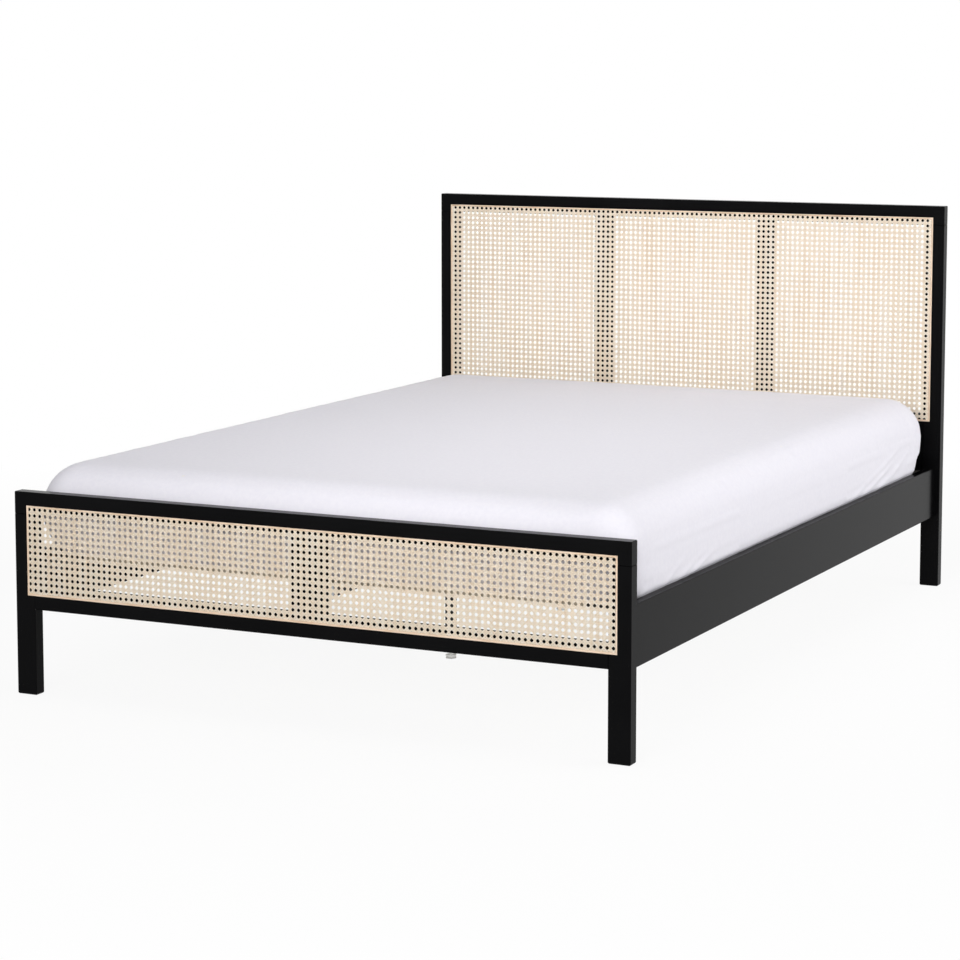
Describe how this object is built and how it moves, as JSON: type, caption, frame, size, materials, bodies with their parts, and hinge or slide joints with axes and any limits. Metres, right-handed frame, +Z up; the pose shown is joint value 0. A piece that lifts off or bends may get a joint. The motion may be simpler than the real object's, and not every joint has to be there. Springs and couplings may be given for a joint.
{
  "type": "double bed",
  "caption": "Double bed with a dark frame, cane panels in the headboard and footboard, a slatted base on a centre beam, and a mattress in a fitted sheet.",
  "frame": {"origin": "centre of the bed's footprint on the floor", "axes": "+X to the right seen from the foot, +Y from foot to head, +Z up"},
  "size_m": [1.47, 2.122, 1.007],
  "materials": {
    "black_lacquer": "satin black lacquer",
    "cane": "natural cane",
    "reed_spline": "natural reed",
    "dark_timber": "black stain",
    "tenon_wood": "raw beech",
    "zinc_steel": "zinc plated",
    "leg_steel": "black powder coat",
    "foot_plastic": "natural nylon",
    "tape": "woven cotton tape",
    "slat_wood": "planed pine",
    "mattress_cover": "knitted cover",
    "sheet": "plain cotton"
  },
  "bodies": {
    "frame": {"headboard_left_post": "black_lacquer", "headboard_right_post": "black_lacquer", "headboard_top_rail": "black_lacquer", "headboard_lower_board": "black_lacquer", "headboard_left_mullion": "black_lacquer", "headboard_right_mullion": "black_lacquer", "footboard_left_post": "black_lacquer", "footboard_right_post": "black_lacquer", "footboard_top_rail": "black_lacquer", "footboard_bottom_rail": "black_lacquer", "footboard_mullion": "black_lacquer", "left_side_rail": "black_lacquer", "right_side_rail": "black_lacquer", "headboard_cane": "cane", "footboard_cane": "cane", "headboard_spline": "reed_spline", "footboard_spline": "reed_spline", "left_slat_ledge": "dark_timber", "right_slat_ledge": "dark_timber", "centre_beam": "dark_timber", "headboard_tenons": "tenon_wood", "footboard_tenons": "tenon_wood", "rail_hook_plates": "zinc_steel", "post_slot_plates": "zinc_steel", "foot_beam_hanger": "zinc_steel", "head_beam_hanger": "zinc_steel", "front_centre_leg": "leg_steel", "rear_centre_leg": "leg_steel"},
    "slat_base": {"slat_01": "slat_wood", "slat_02": "slat_wood", "slat_03": "slat_wood", "slat_04": "slat_wood", "slat_05": "slat_wood", "slat_06": "slat_wood", "slat_07": "slat_wood", "slat_08": "slat_wood", "slat_09": "slat_wood", "slat_10": "slat_wood", "slat_11": "slat_wood", "slat_12": "slat_wood", "slat_13": "slat_wood", "slat_14": "slat_wood", "slat_15": "slat_wood", "left_slat_tape": "tape", "right_slat_tape": "tape"},
    "mattress": {"mattress": "mattress_cover", "fitted_sheet": "sheet"},
    "front_levelling_foot": {"front_levelling_foot": "foot_plastic"},
    "rear_levelling_foot": {"rear_levelling_foot": "foot_plastic"}
  },
  "joints": [
    {"name": "slat_base_lift", "type": "slide", "parent": "frame", "child": "slat_base", "axis": [0, 0, 1], "range_m": [0, 0.3]},
    {"name": "mattress_lift", "type": "slide", "parent": "slat_base", "child": "mattress", "axis": [0, 0, 1], "range_m": [0, 0.5]},
    {"name": "front_foot_adjust", "type": "slide", "parent": "frame", "child": "front_levelling_foot", "axis": [0, 0, 1], "range_m": [0, 0.01]},
    {"name": "rear_foot_adjust", "type": "slide", "parent": "frame", "child": "rear_levelling_foot", "axis": [0, 0, 1], "range_m": [0, 0.01]}
  ]
}
